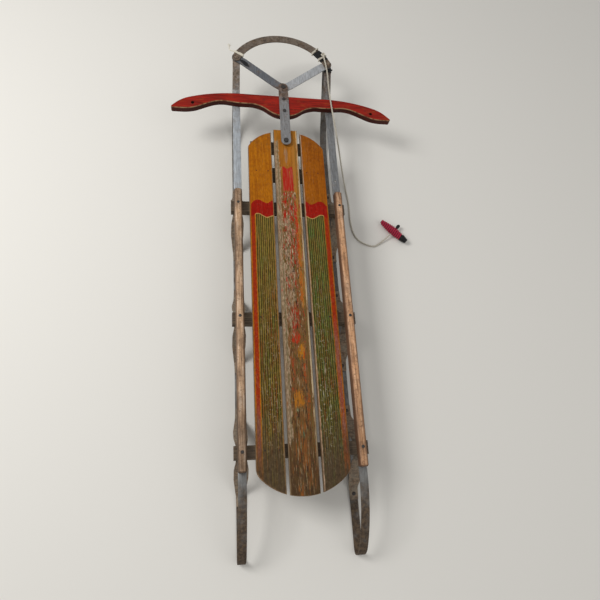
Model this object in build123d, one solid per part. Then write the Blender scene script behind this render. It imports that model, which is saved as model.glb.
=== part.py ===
from build123d import *
from math import atan2, cos, degrees, hypot, pi, radians, sin, tan
import os

os.makedirs("parts", exist_ok=True)

# Millimetres. +Y points to the sled's front, +Z up, the ground is z = 0,
# and y = 0 is the middle of the overall length.

# overall layout
half_length = 755.0
gauge = 286.0
runner_x = gauge / 2
rest_gap = 0.3

# front bow: the depth runs from the corner rivets to the middle of its strip
bow_depth = 89.7
bow_width = 25.0
bow_thick = 3.0
bow_radius = (runner_x ** 2 + bow_depth ** 2) / (2 * bow_depth)
bow_centre_y = half_length - bow_width / 2 - bow_radius
corner_y = half_length - bow_width / 2 - bow_depth
corner_pad_radius = 13.0

# steering layout, from the corners back
corner_to_pin = 88.8
pin_to_pivot = 200.0
pin_y = corner_y - corner_to_pin
pivot_y = pin_y - pin_to_pivot

# wooden crossbeams, which set the height of everything above them
beam_top = 110.0
beam_thick = 21.0
beam_width = 32.0
beam_half_length = 162.0
pivot_to_front_beam = 214.0
tail_to_rear_beam = 243.0
front_beam_y = pivot_y - pivot_to_front_beam
rear_beam_y = tail_to_rear_beam - half_length
beam_y = {"front": front_beam_y, "middle": (front_beam_y + rear_beam_y) / 2, "rear": rear_beam_y}
beam_bottom = beam_top - beam_thick

# deck of three slats
slat_thick = 14.0
deck_top = beam_top + slat_thick
centre_slat_width = 70.0
slat_gap = 8.5
side_slat_width = 68.0
side_slat_inner = centre_slat_width / 2 + slat_gap
deck_half_width = side_slat_inner + side_slat_width
deck_ahead_of_pivot = 45.0
side_slat_set_back = 11.0
deck_front = pivot_y + deck_ahead_of_pivot
side_slat_front = deck_front - side_slat_set_back
corner_back = 53.0
corner_middle_in = 31.5
corner_middle_back = 17.0
deck_overhang = 103.0
deck_rear = rear_beam_y - deck_overhang
deck_rear_radius = 144.0
rear_corner_round = 36.0
slat_chamfer = 1.2

# cleats below the deck: name, front edge behind the pivot, width
cleat_table = [("front", -9.0, 37.0), ("second", 82.0, 43.0)]
cleat_thick = 12.0
cleat_bottom = beam_top - cleat_thick
cleat_half_length = 104.0

# side rails
rail_width = 22.0
rail_height = 23.0
rail_ahead_of_beam = 46.0
rail_behind_beam = 45.0
rail_front = front_beam_y + rail_ahead_of_beam
rail_rear = rear_beam_y - rail_behind_beam
rail_round = 8.0
rail_end_chamfer = 3.0
rail_top = beam_top + rail_height

# steel runners: one strip from the front nose along the ground to the tail loop
runner_width = 20.0
runner_thick = 4.0
runner_rise_angle = 31.0
runner_rise_radius = 220.0
nose_radius = 8.0
corner_pad_reach = 5.0
corner_pad_length = corner_pad_reach + corner_pad_radius
corner_height = 141.5
tail_curl_radius = 12.0
tail_drop_start = rail_rear - 18.0
tail_upper_turn = 40.0
tail_pad_front = rear_beam_y + beam_width / 2

# flat steel strips from the front beam to the corners
strip_width = 22.0
strip_thick = 3.0
strip_rear = front_beam_y - 22.0
strip_rise_angle = 25.0
strip_bend_radius = 25.0
strip_hole_ahead = 94.0

# arched steel knees between runner and beam
knee_thick = 3.0
knee_foot_reach = 118.0
knee_pad_half = beam_width / 2
knee_blank_half = 20.0
knee_bend_radius = 14.0
knee_leg_angle = 52.0

# steering bar and strap; places are measured ahead of the pivot
bar_bottom = beam_top + strip_thick + rest_gap
bar_thick = 18.0
bar_top = bar_bottom + bar_thick
bar_chamfer = 2.0
bar_half_length = 335.0
bar_tip_round = 4.0
rope_hole_x = 272.0
rope_hole_y = pivot_y + 120.0
rope_hole_radius = 5.0
strap_width = 29.0
strap_thick = 3.0
strap_top = bar_top + strap_thick
bar_bolt_ahead = [153.0, 109.0]
pivot_radius = 4.0
pin_radius = 3.0
pin_slide = 4.8
slot_clearance = 0.35
running_gap = 0.05

# struts
strut_width = 26.0
strut_thick = 3.0
strut_flat = 24.0
strut_bend_radius = 30.0
strut_corner_z = corner_height + strip_thick + rest_gap
bow_bottom = strut_corner_z + strut_thick
rivet_radius = 3.5

# cord and hand grip
cord_radius = 2.4
cord_sides = 8
grip_mid_radius = 13.0
grip_sides = 16
grip_x = 343.0
grip_y = 137.0
grip_turn = -44.0


def walk(x, y, heading, moves):
    """Positions along a path of (length, radius, turn) moves, as (move, start, end)."""
    steps = []
    for length, radius, turn in moves:
        start = (x, y, heading)
        if turn:
            side = 1 if turn > 0 else -1
            cx = x - side * radius * sin(radians(heading))
            cy = y + side * radius * cos(radians(heading))
            middle = heading + turn / 2
            heading = heading + turn
            via = (cx + side * radius * sin(radians(middle)), cy - side * radius * cos(radians(middle)), middle)
            x = cx + side * radius * sin(radians(heading))
            y = cy - side * radius * cos(radians(heading))
        else:
            via = None
            x = x + length * cos(radians(heading))
            y = y + length * sin(radians(heading))
        steps.append((start, via, (x, y, heading)))
    return steps


def ribbon(x, y, heading, moves, thick):
    """Closed face of a strip seen edge on, from lines and arcs."""
    def offset(place, side):
        px, py, angle = place
        return (px - side * thick / 2 * sin(radians(angle)), py + side * thick / 2 * cos(radians(angle)))

    steps = walk(x, y, heading, moves)
    edges = []
    for side in (1, -1):
        for start, via, end in steps:
            a = offset(start, side)
            b = offset(end, side)
            if via:
                edges.append(ThreePointArc(a, offset(via, side), b))
            else:
                edges.append(Line(a, b))
    first = steps[0][0]
    last = steps[-1][2]
    edges.append(Line(offset(first, 1), offset(first, -1)))
    edges.append(Line(offset(last, 1), offset(last, -1)))
    return make_face(edges)


def side_extrude(face, x, width):
    """Profile drawn in (y, z), spread evenly about the plane at x."""
    return extrude(Plane.YZ.offset(x - width / 2) * face, amount=width)


def upright(x, y, z_low, z_high, radius):
    return Pos(x, y, (z_low + z_high) / 2) * Cylinder(radius, z_high - z_low)


def hex_nut(x, y, z_low, z_high, reach):
    """Six-sided nut, reach from its middle to a corner."""
    return Pos(x, y, z_low) * extrude(RegularPolygon(reach, 6), amount=z_high - z_low)


def plank(x_low, x_high, y_low, y_high, z_low, z_high):
    size = (x_high - x_low, y_high - y_low, z_high - z_low)
    middle = ((x_low + x_high) / 2, (y_low + y_high) / 2, (z_low + z_high) / 2)
    return Pos(*middle) * Box(*size)


def save(name, shape, label=None):
    shape.label = label or name
    export_step(shape, f"parts/{name}.step")
    print(name, round(shape.volume, 1), [round(v, 1) for v in tuple(shape.bounding_box().min)],
          [round(v, 1) for v in tuple(shape.bounding_box().max)])


# deck
rear_circle_y = deck_rear + deck_rear_radius
deck_blank = plank(-deck_half_width, deck_half_width, rear_circle_y, deck_front, beam_top, deck_top)
deck_blank += Pos(0, rear_circle_y, (beam_top + deck_top) / 2) * Cylinder(deck_rear_radius, slat_thick)
deck_blank &= plank(-deck_half_width, deck_half_width, deck_rear, deck_front, beam_top, deck_top)

# outer front corner of a side slat: straight edges joined by one arc
corner_inner = (side_slat_inner, side_slat_front)
corner_outer = (deck_half_width, side_slat_front - corner_back)
corner_middle = (deck_half_width - corner_middle_in, side_slat_front - corner_middle_back)
beyond = deck_half_width + 20
corner_edges = [
    Line(corner_inner, (beyond, side_slat_front + 60)),
    Line((beyond, side_slat_front + 60), (beyond, corner_outer[1])),
    Line((beyond, corner_outer[1]), corner_outer),
    ThreePointArc(corner_outer, corner_middle, corner_inner),
]
corner_cut = Pos(0, 0, beam_top - 1) * extrude(make_face(corner_edges), amount=slat_thick + 2)

centre_half = centre_slat_width / 2
slat_centre = deck_blank & plank(-centre_half, centre_half, deck_rear, deck_front, beam_top, deck_top)
slat_centre = chamfer(slat_centre.edges().group_by(Axis.Z)[-1], slat_chamfer)
slat_centre -= upright(0, pivot_y, beam_top - 1, deck_top + 1, pivot_radius + 0.2)
slat_right = deck_blank & plank(side_slat_inner, deck_half_width, deck_rear, side_slat_front, beam_top, deck_top)
slat_right -= corner_cut
rear_corner = slat_right.edges().filter_by(Axis.Z).group_by(Axis.X)[-1].sort_by(Axis.Y)[0]
slat_right = fillet(rear_corner, rear_corner_round)
slat_right = chamfer(slat_right.edges().group_by(Axis.Z)[-1], slat_chamfer)
slat_left = mirror(slat_right, about=Plane.YZ)
save("deck_slat_centre", slat_centre)
save("deck_slat_right", slat_right)
save("deck_slat_left", slat_left)

# beams and cleats
for place, y in beam_y.items():
    beam = plank(-beam_half_length, beam_half_length, y - beam_width / 2, y + beam_width / 2, beam_bottom, beam_top)
    save(f"crossbeam_{place}", beam)
for place, behind, width in cleat_table:
    y = pivot_y - behind
    cleat = plank(-cleat_half_length, cleat_half_length, y - width, y, beam_top - cleat_thick, beam_top)
    if y - width < pivot_y < y:
        cleat -= upright(0, pivot_y, cleat_bottom - 1, beam_top + 1, pivot_radius + 0.2)
    save(f"deck_cleat_{place}", cleat)

# side rails, rebated below for the steel at both ends
rail_blank = plank(-rail_width / 2, rail_width / 2, rail_rear, rail_front, beam_top, rail_top)
rail_blank = fillet(rail_blank.edges().filter_by(Axis.Y).group_by(Axis.Z)[-1], rail_round)
rail_blank = chamfer(rail_blank.edges().filter_by(Axis.Z), rail_end_chamfer)
rail_blank -= plank(-rail_width, rail_width, strip_rear, rail_front + 1, beam_top - 1, beam_top + strip_thick)
rail_blank -= plank(-rail_width, rail_width, rail_rear - 1, tail_pad_front, beam_top - 1, beam_top + runner_thick)

# runners
upper_turn = radians(tail_upper_turn)
tail_reach = half_length - runner_thick / 2 + tail_drop_start
tail_drop = beam_top - tail_curl_radius
# two tangent arcs take the strip from level to vertical over the given reach and drop
determinant = sin(upper_turn) * cos(upper_turn) - (1 - sin(upper_turn)) * (1 - cos(upper_turn))
upper_radius = (tail_reach * cos(upper_turn) - tail_drop * (1 - sin(upper_turn))) / determinant
lower_radius = (tail_drop * sin(upper_turn) - tail_reach * (1 - cos(upper_turn))) / determinant
rise = corner_height - runner_thick
rise_slope = radians(runner_rise_angle)
slope_drop = runner_rise_radius * (1 - cos(rise_slope)) + nose_radius * (1 + cos(rise_slope))
slope_length = (rise - slope_drop) / sin(rise_slope)
nose_y = corner_y + corner_pad_reach
rise_start = nose_y - (runner_rise_radius - nose_radius) * sin(rise_slope) - slope_length * cos(rise_slope)
ground_start = -half_length + runner_thick / 2 + tail_curl_radius
print("tail radii", round(upper_radius, 1), round(lower_radius, 1), "runner leaves the ground at", round(rise_start, 1))
runner_moves = [
    (tail_pad_front - tail_drop_start, 0, 0),
    (0, upper_radius, tail_upper_turn),
    (0, lower_radius, 90 - tail_upper_turn),
    (0, tail_curl_radius, 90),
    (rise_start - ground_start, 0, 0),
    (0, runner_rise_radius, runner_rise_angle),
    (slope_length, 0, 0),
    (0, nose_radius, 180 - runner_rise_angle),
    (corner_pad_length, 0, 0),
]
runner_face = ribbon(tail_pad_front, beam_top + runner_thick / 2, 180, runner_moves, runner_thick)

# strips
strip_slope = radians(strip_rise_angle)
strip_rise = corner_height - beam_top
strip_slope_length = (strip_rise - 2 * strip_bend_radius * (1 - cos(strip_slope))) / sin(strip_slope)
strip_rise_run = 2 * strip_bend_radius * sin(strip_slope) + strip_slope_length * cos(strip_slope)
strip_front = corner_y + strip_width / 2
strip_pad_start = corner_y - corner_pad_radius - 2
strip_moves = [
    (strip_pad_start - strip_rise_run - strip_rear, 0, 0),
    (0, strip_bend_radius, strip_rise_angle),
    (strip_slope_length, 0, 0),
    (0, strip_bend_radius, -strip_rise_angle),
    (strip_front - strip_pad_start, 0, 0),
]
strip_face = ribbon(strip_rear, beam_top + strip_thick / 2, 0, strip_moves, strip_thick)

# knees: one arched strip over each side's end of a beam
knee_top = beam_bottom - knee_thick / 2
foot_z = runner_thick + knee_thick / 2
leg = radians(knee_leg_angle)
leg_drop = knee_top - foot_z - 2 * knee_bend_radius * (1 - cos(leg))
leg_length = leg_drop / sin(leg)
knee_run = 2 * knee_bend_radius * sin(leg) + leg_length * cos(leg)
knee_foot = knee_foot_reach - knee_pad_half - knee_run
print("knee foot length", round(knee_foot, 1))
knee_moves = [
    (knee_foot, 0, 0),
    (0, knee_bend_radius, knee_leg_angle),
    (leg_length, 0, 0),
    (0, knee_bend_radius, -knee_leg_angle),
    (2 * knee_pad_half, 0, 0),
    (0, knee_bend_radius, -knee_leg_angle),
    (leg_length, 0, 0),
    (0, knee_bend_radius, knee_leg_angle),
    (knee_foot, 0, 0),
]
knee_side = side_extrude(ribbon(-knee_foot_reach, foot_z, 0, knee_moves, knee_thick), 0, 2 * knee_blank_half)
# leaf-shaped legs in plan: half widths at the pad, the widest point, the foot's root and its end
half_pad, half_wide, half_root, half_end = 13.0, 17.5, 11.0, 10.0
leaf_wide_at = (36.0, 56.0)
leaf_root_at = 92.0
leaf_edges = []
for sy in (1, -1):
    for sx in (1, -1):
        leaf_edges.append(Line((sx * half_pad, 0), (sx * half_pad, sy * knee_pad_half)))
        leaf_edges.append(Line((sx * half_pad, sy * knee_pad_half), (sx * half_wide, sy * leaf_wide_at[0])))
        leaf_edges.append(Line((sx * half_wide, sy * leaf_wide_at[0]), (sx * half_wide, sy * leaf_wide_at[1])))
        leaf_edges.append(Line((sx * half_wide, sy * leaf_wide_at[1]), (sx * half_root, sy * leaf_root_at)))
        leaf_edges.append(Line((sx * half_root, sy * leaf_root_at), (sx * half_end, sy * (knee_foot_reach + 1))))
    leaf_edges.append(Line((-half_end, sy * (knee_foot_reach + 1)), (half_end, sy * (knee_foot_reach + 1))))
knee_blank = knee_side & extrude(make_face(leaf_edges), amount=beam_top)

for side, sign in (("left", -1), ("right", 1)):
    x = sign * runner_x
    save(f"side_rail_{side}", Pos(x, 0, 0) * rail_blank)
    corner_hole = upright(x, corner_y, corner_height - 10, corner_height + 10, rivet_radius + rest_gap)
    save(f"runner_{side}", side_extrude(runner_face, x, runner_width) - corner_hole)
    strip_plan = plank(x - strip_width / 2, x + strip_width / 2, strip_rear, corner_y, beam_top, rail_top + 50)
    strip_plan += upright(x, corner_y, beam_top, rail_top + 50, strip_width / 2)
    strip = (side_extrude(strip_face, x, strip_width) & strip_plan) - corner_hole
    if side == "right":
        strip -= upright(x, front_beam_y + strip_hole_ahead, beam_top - 1, beam_top + 5, 3.0)
    save(f"top_strip_{side}", strip)
    for place, y in beam_y.items():
        save(f"knee_{place}_{side}", Pos(x, y, 0) * knee_blank)

# steering bar
# right half of the outline, x and place ahead of the pivot: front edge, and rear edge from the lobe through neck
front_points = [(130.0, 167.0), (216.0, 159.5), (283.0, 142.0), (318.0, 121.0)]
rear_points = [(0.0, 92.0), (50.0, 110.5), (108.0, 130.5), (168.0, 133.5), (216.0, 127.5), (249.0, 112.0), (303.5, 98.5)]
tip_front = (bar_half_length, 104.0)
tip_rear = (bar_half_length - 4.0, rear_points[-1][1])


def bar_place(point):
    return (point[0], pivot_y + point[1])


def smooth_run(points):
    """Arcs through the points, each leaving the last one smoothly, the first along +X."""
    way = (1, 0)
    arcs = []
    for start, end in zip(points, points[1:]):
        arc = TangentArc(bar_place(start), bar_place(end), tangent=way)
        way = arc % 1
        arcs.append(arc)
    return arcs


half_bar = [
    Line(bar_place(rear_points[0]), bar_place((0, front_points[0][1]))),
    Line(bar_place((0, front_points[0][1])), bar_place(front_points[0])),
    *smooth_run(front_points),
    Line(bar_place(front_points[-1]), bar_place(tip_front)),
    Line(bar_place(tip_front), bar_place(tip_rear)),
    Line(bar_place(tip_rear), bar_place(rear_points[-1])),
    *smooth_run(rear_points),
]
bar_half = Pos(0, 0, bar_bottom) * extrude(make_face(half_bar), amount=bar_thick)
bar = bar_half + mirror(bar_half, about=Plane.YZ)
tips = [edge for edge in bar.edges().filter_by(Axis.Z) if abs(edge.center().X) > bar_half_length - 2 * bar_tip_round]
bar = fillet(tips, bar_tip_round)
bar = chamfer(bar.edges().group_by(Axis.Z)[-1], bar_chamfer)
bar_bolt_y = [pivot_y + ahead for ahead in bar_bolt_ahead]
for sx in (1, -1):
    bar -= upright(sx * rope_hole_x, rope_hole_y, bar_bottom - 1, bar_top + 1, rope_hole_radius)
for y in bar_bolt_y:
    bar -= upright(0, y, bar_bottom - 1, bar_top + 1, rivet_radius + 0.2)
save("steering_bar", bar)

# strap with a hole at the pivot and a short slot at the linkage pin
strap_end = strap_width / 2
strap = plank(-strap_end, strap_end, pivot_y, pin_y, bar_top, strap_top)
strap += upright(0, pivot_y, bar_top, strap_top, strap_end)
strap += upright(0, pin_y, bar_top, strap_top, strap_end)
strap -= upright(0, pivot_y, bar_top - 1, strap_top + 1, pivot_radius + running_gap)
slot_radius = pin_radius + slot_clearance
strap -= upright(0, pin_y, bar_top - 1, strap_top + 1, slot_radius)
strap -= upright(0, pin_y + pin_slide, bar_top - 1, strap_top + 1, slot_radius)
strap -= plank(-slot_radius, slot_radius, pin_y, pin_y + pin_slide, bar_top - 1, strap_top + 1)
for y in bar_bolt_y:
    strap -= upright(0, y, bar_top - 1, strap_top + 1, rivet_radius + 0.2)
save("steering_strap", strap)

bolts = []
for y in bar_bolt_y:
    bolt = upright(0, y, strap_top, strap_top + 2.0, 5.0)
    bolt += upright(0, y, bar_bottom - 3.0, strap_top + 1, rivet_radius)
    bolt += hex_nut(0, y, bar_bottom - 3.0, bar_bottom, 6.5)
    bolts.append(bolt)
save("bar_bolts", Compound(children=bolts))

# pivot bolt with its head over the strap, a spacer on the deck and a nut below the front cleat
pivot = upright(0, pivot_y, cleat_bottom - 6.0, strap_top + 1, pivot_radius)
pivot += upright(0, pivot_y, strap_top + rest_gap, strap_top + rest_gap + 3.0, 7.0)
pivot += upright(0, pivot_y, deck_top, bar_top - rest_gap, 10.0)
pivot += hex_nut(0, pivot_y, cleat_bottom - 6.0, cleat_bottom, 8.0)
save("pivot_bolt", pivot)

# bow and struts
bow_turn = degrees(atan2(corner_y - bow_centre_y, runner_x))
bow_face = ribbon(runner_x, corner_y, 90 + bow_turn, [(0, bow_radius, 180 - 2 * bow_turn)], bow_width)
bow = Pos(0, 0, bow_bottom) * extrude(bow_face, amount=bow_thick)
for sx in (1, -1):
    bow += upright(sx * runner_x, corner_y, bow_bottom, bow_bottom + bow_thick, corner_pad_radius)
for sx in (1, -1):
    bow -= upright(sx * runner_x, corner_y, bow_bottom - 1, bow_bottom + bow_thick + 1, rivet_radius + 0.2)
save("front_bow", bow)

strut_run = hypot(runner_x, corner_y - pin_y)
strut_angle = degrees(atan2(corner_y - pin_y, runner_x))
# side, mirrored, height of the strut's underside at the pin
strut_table = [("left", -1, bar_top - rest_gap - strut_thick), ("right", 1, bar_top - rest_gap - 2 * strut_thick)]
for side, sign, pin_z in strut_table:
    climb = strut_corner_z - pin_z
    slope_run = strut_run - 2 * strut_flat
    # slope angle from the climb and the run, with two bends of the same radius
    angle = 0.1
    for step in range(40):
        straight = (climb - 2 * strut_bend_radius * (1 - cos(angle))) / sin(angle)
        run = 2 * strut_bend_radius * sin(angle) + straight * cos(angle)
        angle = angle * run / slope_run
    turn = degrees(angle)
    end = strut_width / 2
    moves = [
        (end + strut_flat, 0, 0),
        (0, strut_bend_radius, turn),
        (straight, 0, 0),
        (0, strut_bend_radius, -turn),
        (strut_flat + end, 0, 0),
    ]
    profile = ribbon(-end, pin_z + strut_thick / 2, 0, moves, strut_thick)
    blank = extrude(Plane.XZ.offset(-end) * profile, amount=strut_width)
    plan = plank(0, strut_run, -end, end, 0, 300) + upright(0, 0, 0, 300, end) + upright(strut_run, 0, 0, 300, end)
    strut = blank & plan
    strut -= upright(0, 0, 0, 300, pin_radius + 0.2)
    strut -= upright(strut_run, 0, 0, 300, rivet_radius + 0.2)
    strut = Pos(0, pin_y, 0) * Rot(0, 0, strut_angle) * strut
    if sign < 0:
        strut = mirror(strut, about=Plane.YZ)
    save(f"strut_{side}", strut)
    print("strut", side, "turn", round(turn, 2), "run", round(run, 2))

pin_low = bar_top - rest_gap - 2 * strut_thick
pin = upright(0, pin_y, pin_low - 3.0, strap_top + 1, pin_radius)
pin += upright(0, pin_y, strap_top + rest_gap, strap_top + rest_gap + 2.5, 7.0)
pin += hex_nut(0, pin_y, pin_low - 3.0, pin_low, 6.5)
save("linkage_pin", pin)

rivets = []
bow_top = bow_bottom + bow_thick
for sx in (1, -1):
    rivet = upright(sx * runner_x, corner_y, bow_top, bow_top + 2.5, 6.5)
    rivet += upright(sx * runner_x, corner_y, corner_height - runner_thick - 3.0, bow_top + 1, rivet_radius)
    rivet += hex_nut(sx * runner_x, corner_y, corner_height - runner_thick - 3.0, corner_height - runner_thick - rest_gap, 6.5)
    rivets.append(rivet)
save("corner_rivets", Compound(children=rivets))

# cord
# lashing round the bow, in the bow's own radial frame
lash_angle = 42.0
lash_thick = 3.5
lash_length = 34.0
lashing = Box(bow_width + 2 * lash_thick, lash_length, bow_thick + 2 * lash_thick)
lashing -= Box(bow_width + 2.6, lash_length + 1, bow_thick)
lashing = fillet(lashing.edges().filter_by(Axis.Y).group_by(SortBy.LENGTH)[-1], 1.0)
lash_r = bow_radius
lash_place = Pos(lash_r * cos(radians(lash_angle)), bow_centre_y + lash_r * sin(radians(lash_angle)), bow_bottom + bow_thick / 2)
lashing = lash_place * Rot(0, 0, lash_angle) * lashing
save("cord_lashing", lashing)

# route of the cord, x y z
cord_route = [
    (130.0, 684.0, 157.6),
    (139.0, 634.0, 156.5),
    (143.0, 572.0, 138.5),
    (147.0, 508.0, 134.2),
    (151.0, 447.0, 134.4),
    (168.0, 395.0, 96.0),
    (185.0, 350.0, 48.0),
    (203.0, 303.0, 2.4),
    (211.0, 238.0, 2.4),
    (208.0, 172.0, 2.4),
    (220.0, 110.0, 2.4),
    (272.0, 84.0, 2.4),
    (300.0, 100.0, 3.5),
    (332.5, 127.5, 13.0),
]


def cord_radii(points):
    """Largest even bends: 0.45 of the shorter neighbouring run over the tangent of half the turn."""
    radii = []
    for before, corner, after in zip(points, points[1:], points[2:]):
        u = Vector(*corner) - Vector(*before)
        v = Vector(*after) - Vector(*corner)
        turn = radians(u.get_angle(v))
        radii.append(0.45 * min(u.length, v.length) / tan(turn / 2))
    return radii


radii = cord_radii(cord_route)
print("cord radii", [round(r, 1) for r in radii])
cord_path = FilletPolyline(*cord_route, radius=radii)
cord_start = Plane(origin=cord_route[0], z_dir=Vector(*cord_route[1]) - Vector(*cord_route[0]))
section = cord_start * RegularPolygon(cord_radius, cord_sides)
cord = sweep(section, path=cord_path)
print("cord length", round(cord_path.length, 1), "volume ratio", round(cord.volume / (section.area * cord_path.length), 4))
save("cord", cord)

# wound hand grip: a spindle lying on the ground, as place along it and radius
grip_profile = [(-50.0, 7.0), (-34.0, 10.0), (-9.0, grip_mid_radius), (9.0, grip_mid_radius), (34.0, 10.0), (50.0, 7.0)]
grip_parts = []
for (low, low_radius), (high, high_radius) in zip(grip_profile, grip_profile[1:]):
    flare = degrees(atan2((high_radius - low_radius) * cos(pi / grip_sides), high - low))
    frustum = extrude(RegularPolygon(low_radius, grip_sides), amount=high - low, taper=-flare)
    grip_parts.append(Plane.YZ.offset(low) * frustum)
grip = Part() + grip_parts
grip = Pos(grip_x, grip_y, grip_mid_radius) * Rot(0, 0, grip_turn) * grip
save("hand_grip", grip)

# taped knot on the cord's end, where it comes out beyond the grip
knot_radius = 4.5
knot_length = 18.0
knot_reach = grip_mid_radius + rest_gap + knot_length / 2
knot_way = radians(grip_turn + 90)
knot = Rot(0, 0, grip_turn + 90) * Rot(0, 90, 0) * Cylinder(knot_radius, knot_length)
knot = Pos(grip_x + knot_reach * cos(knot_way), grip_y + knot_reach * sin(knot_way), grip_mid_radius) * knot
save("cord_knot", knot)
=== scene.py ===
from functools import partial
from math import cos, pi, radians, sin

import bpy
from mathutils import Matrix, Vector


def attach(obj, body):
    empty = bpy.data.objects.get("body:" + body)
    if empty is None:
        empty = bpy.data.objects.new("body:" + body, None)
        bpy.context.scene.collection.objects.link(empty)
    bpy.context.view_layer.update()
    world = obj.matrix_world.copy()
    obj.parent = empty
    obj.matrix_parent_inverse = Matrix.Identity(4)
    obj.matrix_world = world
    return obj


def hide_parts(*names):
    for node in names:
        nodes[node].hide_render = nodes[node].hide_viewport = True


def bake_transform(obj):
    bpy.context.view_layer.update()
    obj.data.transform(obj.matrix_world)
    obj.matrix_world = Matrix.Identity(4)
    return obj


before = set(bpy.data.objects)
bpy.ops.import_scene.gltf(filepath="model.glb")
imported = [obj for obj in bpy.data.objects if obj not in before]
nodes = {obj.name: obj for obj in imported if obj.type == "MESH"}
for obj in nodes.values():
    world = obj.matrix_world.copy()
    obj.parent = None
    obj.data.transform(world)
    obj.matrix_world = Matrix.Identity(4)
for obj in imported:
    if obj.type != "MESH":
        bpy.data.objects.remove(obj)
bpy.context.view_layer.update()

# small helpers

def hexColour(code):
    # sRGB hex to the linear values that sockets take
    channels = [int(code[i:i + 2], 16) / 255 for i in (1, 3, 5)]
    return (*(c / 12.92 if c <= 0.04045 else ((c + 0.055) / 1.055) ** 2.4 for c in channels), 1.0)


def fillSockets(node, sockets):
    # links or sets the sockets that a dictionary names, or those that a list fills from the first one on
    named = sockets if isinstance(sockets, dict) else dict(enumerate(sockets))
    for socket, value in named.items():
        if isinstance(value, bpy.types.NodeSocket):
            node.id_data.links.new(value, node.inputs[socket])
        else:
            node.inputs[socket].default_value = hexColour(value) if isinstance(value, str) else value


def setAll(thing, settings):
    for name, value in settings.items():
        setattr(thing, name, value)
    return thing


def addNode(tree, kind, sockets=(), out=0, **settings):
    # adds one shader node with its settings and links, and gives back one of its outputs
    node = setAll(tree.nodes.new("ShaderNode" + kind), settings)
    fillSockets(node, sockets)
    return node.outputs[out]


def putInScene(name, data):
    # a new object that holds this mesh, curve, lamp or camera
    holder = bpy.data.objects.new(name, data)
    bpy.context.scene.collection.objects.link(holder)
    return holder


def pickOnly(piece):
    bpy.ops.object.select_all(action="DESELECT")
    piece.select_set(True)
    bpy.context.view_layer.objects.active = piece


def pickFaces(piece, wanted):
    # selects the faces that wanted(centre, normal) says yes to, and nothing else
    bpy.ops.object.mode_set(mode="OBJECT")
    for part in (*piece.data.vertices, *piece.data.edges):
        part.select = False
    for face in piece.data.polygons:
        face.select = wanted(face.center, face.normal)
    bpy.ops.object.mode_set(mode="EDIT")
    bpy.ops.mesh.select_mode(type="FACE")


def shapeWith(piece, kind, **settings):
    # works one of Blender's modifiers into the piece
    tool = setAll(piece.modifiers.new("shaping", kind), settings)
    bpy.ops.object.modifier_apply(modifier=tool.name)


def settle(piece, name, turnTo=None, smoothAngle=35.0):
    # puts the piece's place into its mesh and names it
    bpy.ops.object.mode_set(mode="OBJECT")
    pickOnly(piece)
    if turnTo is not None:
        piece.matrix_world = turnTo @ piece.matrix_world
        bpy.context.view_layer.update()
    bpy.ops.object.transform_apply()
    bpy.ops.object.shade_smooth_by_angle(angle=radians(smoothAngle))
    piece.name = piece.data.name = name
    return piece


def joinAll(pieces, name):
    pickOnly(pieces[0])
    for piece in pieces:
        piece.select_set(True)
    bpy.ops.object.join()
    pieces[0].name = pieces[0].data.name = name
    return pieces[0]


def dress(piece, finish):
    # gives a piece or a CAD node one finish
    for place in piece.material_slots:
        place.material = finish
    if not piece.material_slots:
        piece.data.materials.append(finish)


def drawnLine(name, kind, runs, runSettings, **settings):
    # lists of points drawn as one curve, which is turned into a mesh
    shape = setAll(bpy.data.curves.new(name, "CURVE"), {"dimensions": "3D", **settings})
    for points in runs:
        run = shape.splines.new(kind)
        run.points.add(len(points) - 1)
        for spot, point in zip(run.points, points):
            spot.co = (*point, 1.0)
        setAll(run, runSettings)
    holder = putInScene(name + "Curve", shape)
    bpy.context.view_layer.update()
    mesh = bpy.data.meshes.new_from_object(holder)
    bpy.data.objects.remove(holder)
    bpy.data.curves.remove(shape)
    return mesh


def tubeMesh(name, runs, radius, sides=2):
    # round cords along lists of points
    mesh = drawnLine(name, "POLY", runs, {}, bevel_depth=radius, bevel_resolution=sides, use_fill_caps=True)
    mesh.name = name
    piece = putInScene(name, mesh)
    pickOnly(piece)
    bpy.ops.object.shade_smooth()
    return piece


# camera

cameraView = {
    "place": (-0.2071, -0.6066, 1.3437),  # standing behind the tail, a little to the left
    "right": (0.98602, -0.05718, 0.15651),
    "up": (-0.00297, 0.93311, 0.35958),
    "back": (-0.1666, -0.35502, 0.9199),
    "optics": {"lens": 30.41, "sensor_width": 36.0, "sensor_fit": "HORIZONTAL", "clip_start": 0.05},
}
camera = putInScene("sledCamera", setAll(bpy.data.cameras.new("sledCamera"), cameraView["optics"]))
turned = Matrix((cameraView["right"], cameraView["up"], cameraView["back"])).transposed().to_4x4()
camera.matrix_world = Matrix.Translation(cameraView["place"]) @ turned
bpy.context.scene.camera = camera
print("camera placed")

# pull cord

cordSettings = {
    # the route of the pull cord, in metres, from the lashing on the bow to the hand grip
    "route": [
        (0.130, 0.684, 0.1576), (0.139, 0.634, 0.1565), (0.143, 0.572, 0.1385), (0.147, 0.508, 0.1342),
        (0.151, 0.447, 0.1344), (0.168, 0.395, 0.096), (0.185, 0.350, 0.048), (0.203, 0.303, 0.0024),
        (0.211, 0.238, 0.0024), (0.208, 0.172, 0.0024), (0.220, 0.110, 0.0024), (0.272, 0.084, 0.0024),
        (0.300, 0.100, 0.0035), (0.3325, 0.1275, 0.013),
    ],
    "pointsBetween": 32,
    "length": 0.760,  # seen from end to end
    "diameter": 0.0048,
    "strands": 3,
    "strandShare": 0.464,  # three strands that touch have this share of the cord's radius
    "layLength": 0.028,  # one turn of the strands
}


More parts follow.
